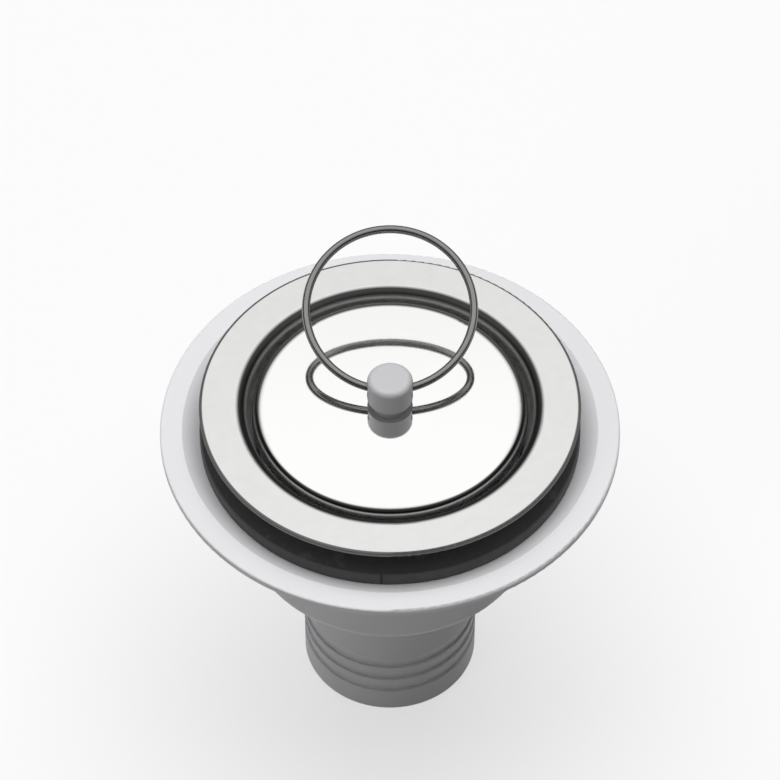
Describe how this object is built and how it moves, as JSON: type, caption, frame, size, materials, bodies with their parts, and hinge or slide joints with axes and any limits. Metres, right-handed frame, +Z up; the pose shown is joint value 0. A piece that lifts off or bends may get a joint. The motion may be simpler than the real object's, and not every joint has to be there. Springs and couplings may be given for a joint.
{
  "type": "sink waste",
  "caption": "Sink waste with a ring-pull plug, a pressed strainer held by a centre screw, a wedge gasket, and a plastic bowl with a ridged hose tail.",
  "frame": {"origin": "on the axis, in the plane of the strainer flange's underside, which clamps down on the sink", "axes": "+Z up along the drain axis, towards the plug; +Y away from the side seen first, the way the ring leans; +X to the right"},
  "size_m": [0.0668, 0.0668, 0.0717],
  "materials": {
    "white_plastic": "satin moulded",
    "insert_steel": "dark, turned",
    "black_rubber": "matte",
    "stainless": "satin flange, bright recess",
    "screw_steel": "plain",
    "grey_plastic": "satin moulded",
    "polished_stainless": "mirror polished",
    "knob_plastic": "satin moulded",
    "wire_steel": "drawn wire"
  },
  "bodies": {
    "base": {"waste_body": "white_plastic", "threaded_insert": "insert_steel", "gasket": "black_rubber"},
    "strainer": {"strainer": "stainless"},
    "screw": {"clamp_screw": "screw_steel"},
    "plug": {"plug_seal": "grey_plastic", "plug_cap": "polished_stainless", "plug_knob": "knob_plastic"},
    "ring": {"pull_ring": "wire_steel"}
  },
  "joints": [
    {"name": "strainer_lift", "type": "slide", "parent": "base", "child": "strainer", "axis": [0, 0, 1], "range_m": [0, 0.0096]},
    {"name": "screw_turn", "type": "hinge", "parent": "strainer", "child": "screw", "pos_m": [0, 0, -0.011], "axis": [0, 0, 1], "range_deg": [0, 4320]},
    {"name": "plug_lift", "type": "slide", "parent": "strainer", "child": "plug", "axis": [0, 0, 1], "range_m": [0, 0.04]},
    {"name": "ring_swing", "type": "hinge", "parent": "plug", "child": "ring", "pos_m": [0, 0, 0.00351], "axis": [-1, 0, 0], "range_deg": [-156.5, 23.5]}
  ],
  "couplings": [
    {"joint": "screw_turn", "follows": "strainer_lift", "rad_per_m": 7854}
  ]
}
